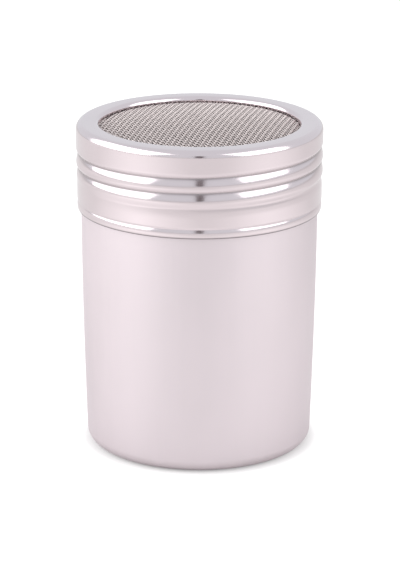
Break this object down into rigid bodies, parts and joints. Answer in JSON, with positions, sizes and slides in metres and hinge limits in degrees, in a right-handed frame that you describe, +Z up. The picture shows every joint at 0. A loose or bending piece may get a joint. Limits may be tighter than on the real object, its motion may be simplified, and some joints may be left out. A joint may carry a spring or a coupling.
{
  "type": "spice shaker",
  "caption": "Stainless steel counter-top spice shaker: a drawn cup with a screw-on lid that holds a domed wire screen.",
  "frame": {"origin": "centre of the flat base, on the surface that the shaker stands on", "axes": "+Z up along the axis of the cup and lid; -Y is the side that the picture shows, +X its right"},
  "size_m": [0.0706, 0.0706, 0.095],
  "materials": {
    "cup_steel": "satin",
    "lid_steel": "gloss",
    "ring_steel": "satin",
    "screen_wire": "satin"
  },
  "bodies": {
    "cup": {"canister": "cup_steel"},
    "lid_lift_body": {"screen_retaining_ring": "ring_steel"},
    "lid": {"lid_shell": "lid_steel", "screen_warp_wires": "screen_wire", "screen_weft_wires": "screen_wire"}
  },
  "joints": [
    {"name": "lid_lift", "type": "slide", "parent": "cup", "child": "lid_lift_body", "axis": [0, 0, 1], "range_m": [0, 0.0258]},
    {"name": "lid_turn", "type": "hinge", "parent": "lid_lift_body", "child": "lid", "pos_m": [0, 0, 0.09], "axis": [0, 0, 1], "range_deg": [0, 2160]}
  ],
  "couplings": [
    {"joint": "lid_lift", "follows": "lid_turn", "m_per_rad": 0.00068437}
  ]
}
